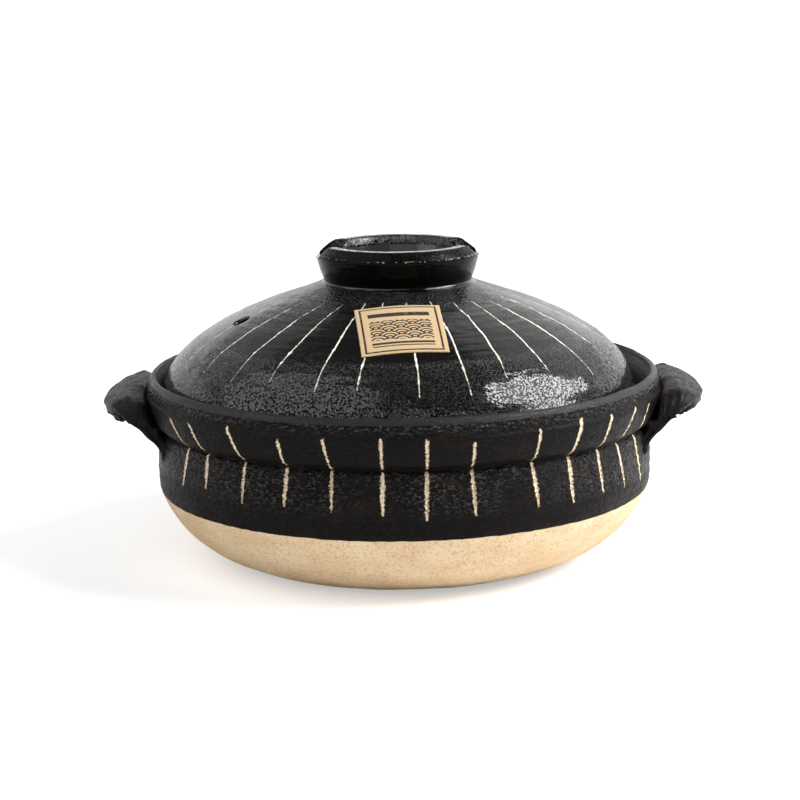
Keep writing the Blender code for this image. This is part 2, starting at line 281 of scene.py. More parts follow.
def grit(add, place, size, depth, under=None, share=None, low=0.0, high=1.0, detail=2.0, rough=0.5):
    # relief of soft grains, size and depth in millimetres, over the relief under it, shallower where
    # the share is under 1. A narrow step from low to high makes flat tops and pits.
    height = patches(add, place, size, low, high, detail, rough)
    if share is not None:
        height = add("Math MULTIPLY", [height, share])
    made = add("Bump", {"Height": height, "Distance": depth * mm})
    if under is not None:
        feed(made[0], {"Normal": under})
    return made


def zone(add, value, start, full, least=0.0, most=1.0):
    # least on the start's side, most on the full's, an S-shaped climb between, in millimetres
    return add("MapRange", [value, start * mm, full * mm, least, most], interpolation_type="SMOOTHSTEP")


def tornEdge(add, place, size, wander):
    # a mark's edge, from the mesh's own distance to it in millimetres, made to wander
    edge = add("Attribute", out=2, attribute_name="scoreEdge")
    noise = add("TexNoise", {
        "Vector": place, "Scale": 1.0 / (size * mm), "Detail": 4.0, "Roughness": 0.72})
    return add("Math MULTIPLY_ADD", [add("Math SUBTRACT", [noise, 0.5]), wander, edge])


# Camera, at the photograph's viewing angle

camera = {
    "distance": 1091.67,  # from the point it aims at
    "aimHeight": 76.81,
    "elevation": 11.8456, "roll": -0.8665,  # degrees
    "lens": 94.27, "sensor": 36.0, "shift": -0.0044,
}


def makeCamera(c):
    lens = bpy.data.cameras.new("camera")
    lens.lens, lens.sensor_width, lens.shift_x = c["lens"], c["sensor"], c["shift"]
    lift = math.radians(c["elevation"])
    spot = Vector((0.0, -math.cos(lift), math.sin(lift))) * c["distance"]
    spot.z += c["aimHeight"]
    made = addObject("camera", lens)
    made.matrix_world = (
        Matrix.Translation(spot * mm) @ Matrix.Rotation(math.pi / 2 - lift, 4, "X")
        @ Matrix.Rotation(math.radians(c["roll"]), 4, "Z"))
    bpy.context.scene.camera = made


makeCamera(camera)
print("camera placed")


# Studio: a pale floor that sweeps up into a wall, and six round soft boxes

studio = {
    "floor": -0.2, "floorReach": 3600, "sweep": 700, "wallTop": 1700,
    "columns": 96,
    "floorColour": "#e6e6e6",
    # glow that whitens the floor, beside the pot and far from it: where it is looked at, and less
    # of it where it is mirrored
    "lift": (0.45, 1), "mirrored": (0, 0.6),
    "liftStart": 250, "liftFull": 1400,
    "worldColour": "#c8c8c8", "worldStrength": 0.16,
}

softBoxes = {
    # direction from the pot, distance, width, and how bright the face is, where 1 is white
    "key_right": ((0.77, -0.10, 0.61), 1150, 880, 13.4),
    "side_left": ((-0.65, -0.29, 0.70), 1250, 1700, 1.5),
    "front_fill": ((-0.15, -0.93, 0.34), 2400, 2200, 0.5),
    "back_right": ((0.54, 0.70, 0.44), 2300, 2900, 0.8),
    "back_left": ((-0.62, 0.74, 0.28), 2300, 3000, 0.36),
    "back_low": ((0, 0.974, 0.225), 2300, 480, 1.9),
}


def makeStudio(s):
    # profile turned about the axis: a flat floor, a quarter round and an upright wall
    level, reach, sweep = s["floor"], s["floorReach"], s["sweep"]
    path = joinPaths(
        [(1.0, level), (300.0, level)], bend((reach, sweep + level), (sweep, sweep), 270, 360, 24),
        [(reach + sweep, s["wallTop"])])
    grid = turnedSurface(path, np.linspace(0.0, 360.0, s["columns"], endpoint=False)[None, :])
    floor = addMesh("studio_floor", grid.reshape(-1, 3), gridFaces(len(path), s["columns"]))

    # matt white studio paint, lit by the lamps and lifted to white where it is looked at, least
    # beside the pot, so that its shadow stays
    paint, add = startMaterial("matt white studio paint")
    nodes = paint.node_tree.nodes
    nodes.remove(nodes["Principled BSDF"])
    rays = add("LightPath")[0]
    seen = add("Math MAXIMUM", [(rays, "Is Camera Ray"), (rays, "Is Transmission Ray")])
    away = add("VectorMath LENGTH", [add("TexCoord", out=3)], 1)
    glow = []
    for ends, ray in ((s["lift"], seen), (s["mirrored"], (rays, "Is Glossy Ray"))):
        lift = add("MapRange", [away, s["liftStart"] * mm, s["liftFull"] * mm, *ends])
        glow.append(add("Math MULTIPLY", [lift, ray]))
    glow = add("Emission", {"Strength": add("Math ADD", glow)})
    matt = add("BsdfDiffuse", {"Color": s["floorColour"]})
    feed(nodes["Material Output"], {"Surface": add("AddShader", [matt, glow])})
    floor.data.materials.append(paint)

    world = bpy.data.worlds.new("studio")
    world.use_nodes = True
    feed(world.node_tree.nodes["Background"], {"Color": s["worldColour"], "Strength": s["worldStrength"]})
    bpy.context.scene.world = world


def makeSoftBox(name, towards, distance, width, radiance):
    # a lamp's energy is its radiance x pi x the area of its face
    lamp = bpy.data.lights.new(name, "AREA")
    lamp.shape, lamp.size = "DISK", width * mm
    lamp.energy = radiance * math.pi * math.pi * (lamp.size / 2) ** 2
    made = addObject(name, lamp)
    towards = Vector(towards).normalized()
    made.location = (towards * distance + Vector((0.0, 0.0, 80.0))) * mm  # round the pot's middle
    made.rotation_euler = towards.to_track_quat("Z", "Y").to_euler()


makeStudio(studio)
for boxName, boxSettings in softBoxes.items():
    makeSoftBox(boxName, *boxSettings)
bpy.context.scene.view_settings.view_transform = "Standard"
print("studio lit")


# Pot: one thrown shell, glazed black down to a line, scored through the glaze and bare at the foot

pot = {
    # the solids' profile as points (distance from the axis, height), and quarter rounds as centre,
    # radii, first and last angle in degrees, and steps. Outer side, downwards:
    "lip": ((128.6, 91.1), (2.4, 3.6), 90, 12, 14),
    "band": [(132.5, 86.957), (133, 83.568), (130.074, 73.934), (125.3, 69.4)],
    "belly": [(125.3, 69.4), (126.664, 65.816), (127.5, 47), (125.9705, 33.84), (117.2305, 18.8),
              (105.213, 8.46), (92.54, 2.256), (83.8, 0)],
    "foot": [(83.8, 0.35), (83, 0)],
    "underside": [(77.8, 0), (50, 0), (22, 0), (8, 0)],
    # inner side, upwards
    "floor": [(8, 9.5), (81.9, 9.5)],
    "bowl": [(81.9, 9.5), (100.672, 15.5), (112.585, 27.125), (118, 47), (114.124, 59.834),
             (107.8, 67.7)],
    "ledgeEdge": ((109.2, 77.3), (1.4, 1.4), 180, 90, 6),
    "galleryFoot": ((123.2, 80.3), (1.6, 1.6), 270, 360, 6),
    "gallery": [(124.8, 80.3), (124.94, 84.3), (125.976, 88.62), (127.6, 93.1)],
    "lipInside": ((128.6, 93.7), (1, 1), 180, 90, 6),
    "rimRadius": 131, "rimHeight": 94.7,
    "glazeLine": 35.9,  # height at which the glaze ends
    "glazeStep": 0.25,  # thickness of the glaze there
    "creaseHeight": 70, "neckHeight": 69.4, "creaseDepth": 0.05,
    "scoreDepth": 0.45,
    "ridge": 0.10,  # throwing ridges
    "wobble": 0.30,  # how far the rim is from level
    "offsets": (-2.4, -1.6, -1, -0.5, 0, 0.5, 1, 1.6, 2.4),  # columns beside a mark's middle
    # steps of the path on the lip, and above, across and below the glaze's line
    "lipStep": 0.6, "upperStep": 0.76, "lineStep": 0.4, "lowerStep": 2.3,
}

# Scored marks on the front, in degrees from the front and millimetres: angle and height of the top,
# angle at the crease, angle and height of the lower end
potMarks = np.array([
    (-59.1, 84, -56.2, -58.9, 49), (-51.2, 84.6, -48.5, -49.1, 52.2), (-39, 87.2, -36.6, -37.5, 49.1),
    (-26.3, 84.3, -25.8, -26.5, 50.2), (-16.5, 85.8, -15.5, -15.7, 49.5), (-4.7, 86.5, -4.6, -4.7, 48.1),
    (4.5, 85.7, 4.7, 4.5, 45.9), (14.2, 83.2, 14.3, 15, 46.9), (28.6, 86.2, 28.2, 29.7, 47),
    (39.2, 88.3, 37.9, 39.1, 46.5), (48.4, 86.4, 47.1, 49, 47), (57.9, 85.9, 55, 58, 45.5),
    (65.5, 84.5, 64.1, 68.1, 43.9),
])
backMarks = {"seed": 11, "first": 114.0, "last": 246.0, "count": 14, "jitter": 1.0}


def potOuterPath(p):
    # an elliptic lip; and a swelling band, a crease and a belly that draws in to the foot
    lip = bend(*p["lip"])
    return lip, joinPaths(smoothPath([lip[-1], *p["band"]], 12), smoothPath(p["belly"], 12))


def potLiningPath(p):
    # floor, bowl, ledge with rounded edges, gallery wall and the inner half of the lip
    bowl, gallery = smoothPath(p["bowl"], 12), smoothPath(p["gallery"], 8)
    ledgeEdge, galleryFoot = bend(*p["ledgeEdge"]), bend(*p["galleryFoot"])
    return joinPaths(
        evenPath(p["floor"], 12.0), evenPath(bowl, 3.2), ledgeEdge,
        evenPath([ledgeEdge[-1], galleryFoot[0]], 2.6), galleryFoot, evenPath(gallery, 1.6),
        bend(*p["lipInside"]))


def allPotMarks():
    # the measured marks, then the back ones; none lies under a handle
    draw, top = spread(**backMarks)
    crease = top + draw(-0.8, 0.8)
    back = [top, draw(83.5, 88.0), crease, crease + draw(-1.2, 1.2), draw(45.0, 51.0)]
    return np.vstack([potMarks, np.column_stack(back)])


def makePot(p, glaze, liner, rim):
    # path: the lining, the lip, and the side in steps that are finest across the glaze's lower line
    lip, side = potOuterPath(p)
    lip, lining = evenPath(lip, p["lipStep"]), potLiningPath(p)
    z = side[:, 1] - p["glazeLine"]
    upper, line, lower = (evenPath(side[part], p[step]) for part, step in (
        (z >= 1.2, "upperStep"), (np.abs(z) < 1.6, "lineStep"), (z <= -1.2, "lowerStep")))
    line = line[(line[:, 1] < upper[-1, 1] - 0.1) & (line[:, 1] > lower[0, 1] + 0.1)]
    path = np.vstack([lining, lip[1:], upper[1:], line, lower[:-1], p["foot"], p["underside"]])
    firstOuter = len(lining) - 1
    radii, heights = path.T
    outer = np.arange(len(path)) >= firstOuter
    outer[-len(p["underside"]):] = False

    # columns follow the marks on the outer side, and keep their angles at its ends elsewhere
    marks = allPotMarks()
    topAngle, topHeight, _, endAngle, endHeight = marks.T
    crease = p["creaseHeight"]
    centres = np.column_stack([
        np.interp(heights, (m[4], crease, m[1]), (m[3], m[2], m[0])) for m in marks])
    centres[~outer] = np.where((heights[~outer] > 5.0)[:, None], topAngle, endAngle)
    following = np.append(topAngle[1:], topAngle[0] + 360.0)
    gaps = np.where(following - topAngle > 20.0, 22, 5)  # columns between marks, more over a handle
    angles = markColumns(np.maximum(radii, 105.0), centres, p["offsets"], gaps)

    # half widths: upper marks are blunt at the top and thin out downwards, lower ones are widest
    # in the middle and end in a point
    rng = np.random.default_rng(5)
    z, outer = heights[:, None], outer[:, None]
    tall = np.clip((topHeight - z) / (topHeight - crease - 0.6), 0, 1)
    upperWidth = (0.90 - 0.50 * tall ** 1.6) * (0.6 + 0.4 * rise(tall, 0.0, 0.12))
    upperWidth *= rng.uniform(0.8, 1.1, len(marks))
    low = np.clip((crease - 1.2 - z) / (crease - 1.2 - endHeight), 0, 1)
    lowerWidth = 0.28 + 0.74 * np.sin(np.pi * (0.16 + 0.84 * low)) ** 0.8
    lowerWidth *= rng.uniform(0.8, 1.15, len(marks))
    edge = np.minimum(
        markEdge(angles, radii, centres, -heights, -topHeight, -crease - 0.6, upperWidth),
        markEdge(angles, radii, centres, -heights, 1.2 - crease, -endHeight, lowerWidth))
    edge = np.where(outer, np.clip(edge, -3.0, unscored), unscored)

    # relief along the surface's normal: grooves, throwing ridges, uneven clay, the crease's fine
    # step and the thickness of the glaze above its line
    uneven = partial(lumps, angles / 360.0, z / p["rimHeight"])
    run = pathRun(path)[:, None]
    ridges = np.sin(run / 0.72 + 1.5 * uneven(7, 3, 1)) + 0.7 * np.sin(run / 0.41 + 2.0 * uneven(9, 4, 2))
    glazed = rise(z, p["glazeLine"] - 0.25, p["glazeLine"] + 0.25) * outer
    push = p["ridge"] * ridges * glazed * (0.4 + 0.6 * rise(z, 71.0, 66.0))
    push += 0.22 * uneven(46, 14, 3) * outer + 0.12 * uneven(170, 60, 4) * glazed + p["glazeStep"] * glazed
    push -= p["creaseDepth"] * np.exp(-((z - p["neckHeight"]) / 0.7) ** 2) * outer
    push -= p["scoreDepth"] * rise(-edge, -0.15, 0.75)
    grid = turnedSurface(path, angles, push)
    turn = np.radians(angles)
    tilt = p["wobble"] * (0.6 * np.sin(2 * turn + 0.7) + 0.4 * np.sin(5 * turn + 2.1))
    grid[..., 2] = np.maximum(grid[..., 2] + tilt * rise(z, 76.0, 94.0) * 0.8, 0.0)

    points, faces = withPoles(grid, (0.0, 0.0, p["floor"][0][1]), (0.0, 0.0, 0.0))
    # slots: 0 is the glaze, 1 the liner and 2 the rim, which is the lip and the wall inside it
    row = np.arange(len(path) - 1)
    onRim = (row < firstOuter + len(lip) - 1) & (heights[:-1] > 80.0) & (radii[:-1] > 120.0)
    slots = np.append(np.where(onRim, 2, row < firstOuter), (1, 0)).repeat(angles.shape[1])
    pieceFrom(
        "pot_shell", points, faces, "pot", [glaze, liner, rim], "pot_body", slots,
        np.append(edge, (unscored, unscored)))


# The pot's glaze and clay: sRGB colours, and sizes in millimetres
glazeLook = {
    "black": "#080707", "thin": "#1c1511", "burnt": "#2a1509",
    "freckle": "#29221e",  # brown-grey
    "glintColour": "#433f3c",  # grey, painted glints on the cratered glaze
    "satin": (0.33, 0.50),  # roughness of the band and the belly
    "ior": 1.45, "sheen": 0.10,
    "clay": "#e6c9a3", "clayLight": "#eed6b2", "claySpeck": "#a9824f", "speckSize": 1.3,
    "buff": "#f4e6cb", "buffDark": "#c8a882",
    "wander": 3.4,  # how far a mark's torn edge strays
    "waver": 1.1, "waverSize": 7.0,  # and the glaze's lower edge
    "craterGloss": -0.20,  # added to the roughness where it is cratered
    "bare": 0.92,  # roughness of the clay
}


def potGlazeMaterial(look):
    # black iron glaze on stoneware, dipped and fired: a satin skin with small craters, brown where
    # it is thin, torn open along the scored marks, over bare sandy clay at the foot
    made, add = startMaterial("black iron glaze, scored")
    place = objectPlace(add)
    drawn = objectPlace(add, share=(0.48, 0.48, 1.0))
    height = add("SeparateXYZ", [place], 2)

    # clay with dark and light grit
    clay = blotched(add, drawn, 9.0, 0.35, 0.68, look["clay"], look["clayLight"], 3.0)
    clay = blotched(add, place, look["speckSize"], 0.47, 0.68, clay, look["claySpeck"], 3.0, 0.6, 0.42)

    # glaze: black, brown in thin patches, and freckled
    skin = blotched(add, drawn, 14.0, 0.52, 0.78, look["black"], look["thin"], 4.0, 0.6)
    skin = blotched(add, place, 0.9, 0.52, 0.66, skin, look["freckle"], 3.0, 0.6, 0.6)
    # craters lie around the lip and the belly's upper half, and short grey strokes there are painted glints
    combed = patches(add, place, 45.0, 0.34, 0.56)
    for start, full in ((44.0, 56.0), (70.0, 67.5)):
        combed = add("Math MULTIPLY", [combed, zone(add, height, start, full)])
    combed = add("Math MAXIMUM", [combed, zone(add, height, 86.5, 91.0)])
    # painted glints: short grey strokes mixed into the colour in the cratered places
    paintedGlints = add("Math MULTIPLY", [combed, patches(add, drawn, 1.0, 0.53, 0.63)])
    skin = add("Mix", {0: paintedGlints, 6: skin, 7: look["glintColour"]}, **rgba)
    # burnt beside a mark, and buff clay where it is torn open
    torn = tornEdge(add, place, 1.1, look["wander"])
    bared, burnt = add("MapRange", [torn, 0.12, -0.12]), add("MapRange", [torn, 0.75, 0.15])
    buff = blotched(add, place, 1.2, 0.30, 0.62, look["buffDark"], look["buff"])
    skin = add("Mix", {0: burnt, 6: skin, 7: look["burnt"]}, **rgba)
    skin = add("Mix", {0: bared, 6: skin, 7: buff}, **rgba)

    # the glaze's lower edge wavers a little
    waver = add("TexNoise", {"Vector": place, "Scale": 1.0 / (look["waverSize"] * mm)})
    line = add("Math MULTIPLY_ADD", [waver, look["waver"] * mm, height])
    glazed = zone(add, line, pot["glazeLine"] + 0.43, pot["glazeLine"] + 0.67)
    colour = add("Mix", {0: glazed, 6: clay, 7: skin}, **rgba)

    # relief: deep in the cratered places, with fine grain everywhere
    craters = add("MapRange", [combed, 0.0, 1.0, 0.16, 1.0])
    normal = grit(add, drawn, 1.3, 2.2, share=craters)
    normal = grit(add, place, 1.1, 0.22, normal, craters, 0.36, 0.60)
    normal = grit(add, place, 0.55, 0.08, normal)

    # satin, glossier where it is cratered
    gloss = patches(add, place, 3.2, 0.3, 0.7, 3.0, 0.5, *look["satin"])
    gloss = add("Math MULTIPLY_ADD", [combed, look["craterGloss"], gloss])
    bare = add("Math MAXIMUM", [add("Math SUBTRACT", [1.0, glazed]), bared])
    roughness = add("Mix", {0: bare, 2: gloss, 3: look["bare"]})
    return shade(made, colour, roughness, normal, look["sheen"], look["ior"])


def linerMaterial():
    # the same glaze inside, thicker and glossier where it pooled, brownish at the ledge
    made, add = startMaterial("black iron glaze, pooled")
    place = objectPlace(add)
    drawn = objectPlace(add, share=(0.35, 0.35, 1.0))
    colour = blotched(add, drawn, 16.0, 0.50, 0.80, "#100e0d", "#271d18", 4.0, 0.6)
    normal = grit(add, drawn, 2.6, 0.16, detail=3.0)
    normal = grit(add, place, 0.6, 0.03, normal)
    return shade(made, colour, patches(add, place, 6.0, 0.3, 0.7, 3.0, 0.5, 0.32, 0.46), normal)


def rimMaterial():
    # the same glaze on the lip and the wall inside it: smoother, streaked around as it was wiped
    made, add = startMaterial("black iron glaze, wiped")
    place = objectPlace(add)
    streaks, away = aroundAxis(add, place, 22.0)
    colour = blotched(add, streaks, 5.0, 0.50, 0.80, "#0e0c0c", "#251c17", 4.0, 0.6)
    # inside the lip the glaze is smoother, and its colour is painted grey: a painted sheen
    inner = 128.2, 127.5
    colour = add("Mix", {0: zone(add, away, *inner), 6: colour, 7: "#5e5c5b"}, **rgba)
    wiped = zone(add, away, *inner, 1.0, 0.2)
    normal = grit(add, streaks, 1.4, 0.55, share=wiped, detail=3.0, rough=0.6)
    normal = grit(add, place, 0.9, 0.14, normal, low=0.36, high=0.60)
    gloss = patches(add, streaks, 3.0, 0.3, 0.7, 3.0, 0.5, 0.32, 0.48)
    return shade(made, colour, gloss, normal, 0.30)


makePot(pot, potGlazeMaterial(glazeLook), linerMaterial(), rimMaterial())


# Handles: a strap of clay each, bent into an arch and pressed on, with a thick sloping tab

handle = {
    # the solids' stations, from the foot of a leg to the middle of the tab: the middle line's y and z,
    # the inner and outer x, the thickness, and the tilt in degrees
    "stations": [
        (32.68, 55.5902, 114.7056, 120.7607, 9, 0),
        (34.58, 60.2732, 117.7056, 123.2803, 9, 0),
        (36.48, 66.3612, 120.7056, 127.0596, 9.5, 0),
        (38, 72.4491, 122.7056, 132.7286, 10, 3),
        (38, 77.6004, 125, 139.3425, 10.5, 8),
        (34.96, 81.581, 127, 145.6413, 10.976, 15.6),
        (23.56, 81.8152, 129, 150.3655, 11.2, 19.5),
        (11.4, 81.8152, 129, 152.5701, 11.2, 19.5),
        (0, 81.8152, 129, 153.2, 11.2, 19.5),
    ],
    "steps": 14,  # between two stations
    "corner": 0.22,  # radius of the strap's edges, as a share of its thickness
    "flare": 1.5, "flareReach": 3.5,
    "undercut": 4.8,  # how far the tip's lower edge stands back from its upper one
    "crease": 3.2, "creaseReach": 6.5,  # how deep and how wide the top rounds down to the rim
    "shoulderDip": 7, "shoulderReach": 12,  # and the same beside the tab's middle
    "lump": 0.32, "streak": 0.30,
    "slab": 0.9, "slabFoot": 76,  # the tab's clay stands proud down to a torn edge
}


def strapSections(h):
    # each station's rounded rectangle, set square to the middle line and tilted: four quarter
    # rounds joined by straight sides
    half = np.array(h["stations"])
    back = half[-2::-1] * (-1, 1, 1, 1, 1, 1)
    y, z, inner, outer, thickness, tilt = smoothPath(np.vstack([half, back]), h["steps"]).T
    along = np.column_stack([np.gradient(y), np.gradient(z)])
    along /= np.linalg.norm(along, axis=1, keepdims=True)
    normal = np.column_stack([0 * y, along[:, 1], -along[:, 0]])
    lean = np.radians(tilt)[:, None]
    side = (1.0, 0.0, 0.0)
    wide = np.cos(lean) * side - np.sin(lean) * normal
    thick = np.cos(lean) * normal + np.sin(lean) * side
    halfWidth, halfThick = ((outer - inner) / 2)[:, None], (thickness / 2)[:, None]
    corner = np.minimum(h["corner"] * 2 * halfThick, 0.96 * halfWidth)
    arcs = []
    for turn, (a, b) in enumerate(((1, 1), (-1, 1), (-1, -1), (1, -1))):
        angle = np.radians(90 * turn + np.linspace(0, 90, 7))[None, :]
        arcs.append(np.stack([
            a * (halfWidth - corner) + corner * np.cos(angle),
            b * (halfThick - corner) + corner * np.sin(angle)], axis=-1))
    ring = []
    for turn, straight in enumerate((25, 9, 25, 9)):
        share = (np.arange(1, straight + 1) / (straight + 1))[None, :, None]
        start, end = arcs[turn][:, -1:], arcs[(turn + 1) % 4][:, :1]
        ring += [arcs[turn], start + (end - start) * share]
    flat = np.concatenate(ring, axis=1)
    low = np.clip(-flat[..., 1] / halfThick, 0.0, 1.0)
    flat[..., 0] -= h["undercut"] * low * np.clip(flat[..., 0] / halfWidth, 0.0, 1.0)
    middle = np.column_stack([(inner + outer) / 2, y, z])[:, None, :]
    return middle, middle + flat[..., :1] * wide[:, None, :] + flat[..., 1:] * thick[:, None, :]


def makeHandle(name, h, p, turned, seed, glaze):
    middle, grid = strapSections(h)
    rows, columns = grid.shape[:2]
    away = grid - middle
    away /= np.linalg.norm(away, axis=2, keepdims=True)
    uneven = partial(lumps, np.arange(columns) / columns, (np.arange(rows) / (rows - 1))[:, None])
    # uneven pressed clay: broad lumps, streaks along the strap, and a torn edge where the tab was
    # pressed down onto the legs
    x, y, z = np.moveaxis(grid, 2, 0)
    push = h["lump"] * (uneven(9, 26, seed) + 0.6 * uneven(18, 60, seed + 1))
    push += h["streak"] * uneven(48, 14, seed + 2)
    torn = z - h["slabFoot"] + 1.8 * uneven(30, 60, seed + 3)
    curl = np.exp(-((torn - 0.8) / 0.9) ** 2) * (1.0 + uneven(60, 110, seed + 4))
    push += h["slab"] * rise(torn, -0.3, 0.3) + 0.7 * curl
    # a soft flare where a leg runs onto the belly
    skin = joinPaths(*potOuterPath(p))[::-1]
    near = fall(np.hypot(x, y) - np.interp(z, skin[:, 1], skin[:, 0]), 0.0, h["flareReach"])
    push += h["flare"] * near ** 2 * rise(80.0 - z, 0.0, 6.0)
    grid = grid + away * push[..., None]
    # the tab's top rounds down to the rim and leaves a crease
    x, y, z = np.moveaxis(grid, 2, 0)
    beside = fall(np.hypot(x, y), p["rimRadius"] + 1.0, h["creaseReach"])
    aside = fall(np.abs(x), 127.0, h["shoulderReach"]) * rise(np.abs(y), 6.0, 24.0)
    dip = np.maximum(h["crease"] * beside ** 2, h["shoulderDip"] * aside)
    grid[..., 2] -= dip * rise(z, 72.0, 82.0)
    points, faces = withPoles(grid, grid[0].mean(axis=0), grid[-1].mean(axis=0))
    if turned:
        points = points * (-1.0, -1.0, 1.0)
    pieceFrom("clay_" + name, points, faces, "pot", [glaze], name)


def handleGlazeMaterial():
    # black iron glaze over pressed clay: satin, nubbly, brown on the knuckles where it ran thin
    made, add = startMaterial("black iron glaze, nubbly")
    place = objectPlace(add)
    colour = blotched(add, place, 10.0, 0.48, 0.76, "#0e0c0c", "#261d18", 4.0, 0.6)
    # brushed down the strap's near and far sides: fine streaks, close together and long in height
    drawn = objectPlace(add, share=(1.0, 1.0, 0.16))
    normal = grit(add, drawn, 1.3, 0.35, detail=3.0, rough=0.6)
    normal = grit(add, place, 1.2, 0.26, normal, detail=3.0, rough=0.6)
    return shade(made, colour, patches(add, place, 3.0, 0.3, 0.7, 3.0, 0.5, 0.34, 0.50), normal, 0.13)


handleGlaze = handleGlazeMaterial()
makeHandle("handle_right", handle, pot, False, 21, handleGlaze)
makeHandle("handle_left", handle, pot, True, 31, handleGlaze)


# Lid: a thrown dome, scored with fine pale lines from the knob to near its edge

lid = {
    "axis": (-2.5, 0, 0),
    # the solids' outer side: a flat pad, a dome that steepens to the widest ring, and a rolled edge
    "padHeight": 140.2,
    "dome": [(38.5, 140.2), (50.9115, 135.336), (67.155, 129.8576), (83.3985, 123.2016), (96.31, 116.5456),
             (107.5555, 108.712), (116.7185, 99.24), (121.3, 89)],
    "edge": [(121.3, 89), (120.2, 84.2), (118.2, 80.6), (116.3, 79)],
    "seatInner": 110.3, "seatHeight": 79, "seatRound": 1.4,
    "wall": 8,
    "steamHole": 8.5, "steamRadius": 82, "steamAngle": -74, "steamRound": 1.3,
    "ridge": 0.03, "scoreDepth": 0.25,
    "offsets": (-1.5, -0.85, -0.4, 0, 0.4, 0.85, 1.5),  # columns beside a line's middle
}
domeLine = smoothPath(lid["dome"], 16)

# Scored lines on the front: angle and radius where each starts, angle and radius where it ends
lidMarks = np.array([
    (-74.5, 55, -72.5, 112), (-58.4, 52.5, -58.4, 113), (-43.5, 52, -45.6, 113),
    (-31.4, 52, -33.6, 111), (-18.4, 49.4, -20.4, 113), (-8.2, 49, -9.8, 112),
    (5.6, 49, 5, 115), (19.2, 49.4, 17.2, 115), (32.2, 52, 28.3, 110),
    (43.8, 53, 41.1, 113), (55.9, 56, 56, 115), (71.1, 55, 68.5, 116),
])
lidBackMarks = {"seed": 17, "first": 83.0, "last": 273.0, "count": 16, "jitter": 1.2}


def domeHeight(radius):
    # height of the dome's outer side at a distance from the lid's axis
    return np.interp(radius, domeLine[:, 0], domeLine[:, 1])


def domeFall(radius, reach):
    # how steeply it falls there, measured over a reach to either side
    return (domeHeight(radius - reach) - domeHeight(radius + reach)) / (2 * reach)


def allLidMarks():
    # the measured lines, then the back ones
    draw, start = spread(**lidBackMarks)
    back = [start, draw(51.0, 56.0), start + draw(-2.2, 1.0), draw(110.0, 116.0)]
    return np.vstack([lidMarks, np.column_stack(back)])


def lidMarkCentres(marks, radii):
    # each line's angle at a distance from the axis, straight between its ends
    return np.column_stack([np.interp(radii, (m[1], m[3]), (m[0], m[2])) for m in marks])


def lidMarkEdge(angles, radii):
    # distance outside the nearest line, with beads where the tool dragged
    marks = allLidMarks()
    draw = partial(np.random.default_rng(9).uniform, size=len(marks))
    r = radii[:, None]
    stray = np.sin(r / draw(2.5, 6.0) + draw(0, 6.28))
    centres = lidMarkCentres(marks, radii) + np.degrees(0.28 * stray / r)
    widths = draw(0.14, 0.24) + 0.18 * rise(r, 60.0, 80.0) * rise(-r, -110.0, -88.0)
    for bead in range(7):
        spots = draw(56.0, 112.0)
        widths += draw(0.0, 0.42) * np.exp(-((r - spots) / 0.8) ** 2)
    return markEdge(angles, radii, centres, radii, marks[:, 1], marks[:, 3], widths)


def steamCutter(d):
    # a drill along the dome's normal at the hole: its radius is the hole's, and grows by a quarter
    # round where it leaves the clay
    soft, radius, spare = d["steamRound"], d["steamRadius"], 6.0
    wide = d["steamHole"] / 2 + soft
    flare = bend((wide, -soft), (soft, soft), 90, 180, 8)
    path = np.vstack([[(wide, spare)], flare, flare[::-1] * (1, -1) - (0, d["wall"]),
                      [(wide, -d["wall"] - spare)]])
    grid = turnedSurface(path, np.arange(0.0, 360.0, 9.0)[None, :])
    points, faces = withPoles(grid, (0, 0, path[0, 1]), (0, 0, path[-1, 1]))
    turn = math.radians(d["steamAngle"])
    lean = Matrix.Rotation(turn, 3, "Z") @ Matrix.Rotation(math.atan(domeFall(radius, 2.0)), 3, "X")
    spot = d["axis"][0] + radius * math.sin(turn), -radius * math.cos(turn), domeHeight(radius)
    return addMesh("steam_cutter", points @ np.array(lean).T + spot, faces)


def cutOut(whole, tool):
    # what is left of one object when another is taken out of it, as plain arrays in millimetres
    cut = whole.modifiers.new("hole", "BOOLEAN")
    cut.operation, cut.solver, cut.object = "DIFFERENCE", "EXACT", tool
    result = whole.evaluated_get(bpy.context.evaluated_depsgraph_get()).to_mesh()
    place = np.zeros(len(result.vertices) * 3)
    result.vertices.foreach_get("co", place)
    faces = [tuple(face.vertices) for face in result.polygons]
    for made in (whole, tool):
        bpy.data.objects.remove(made)
    return place.reshape(-1, 3) / mm, faces


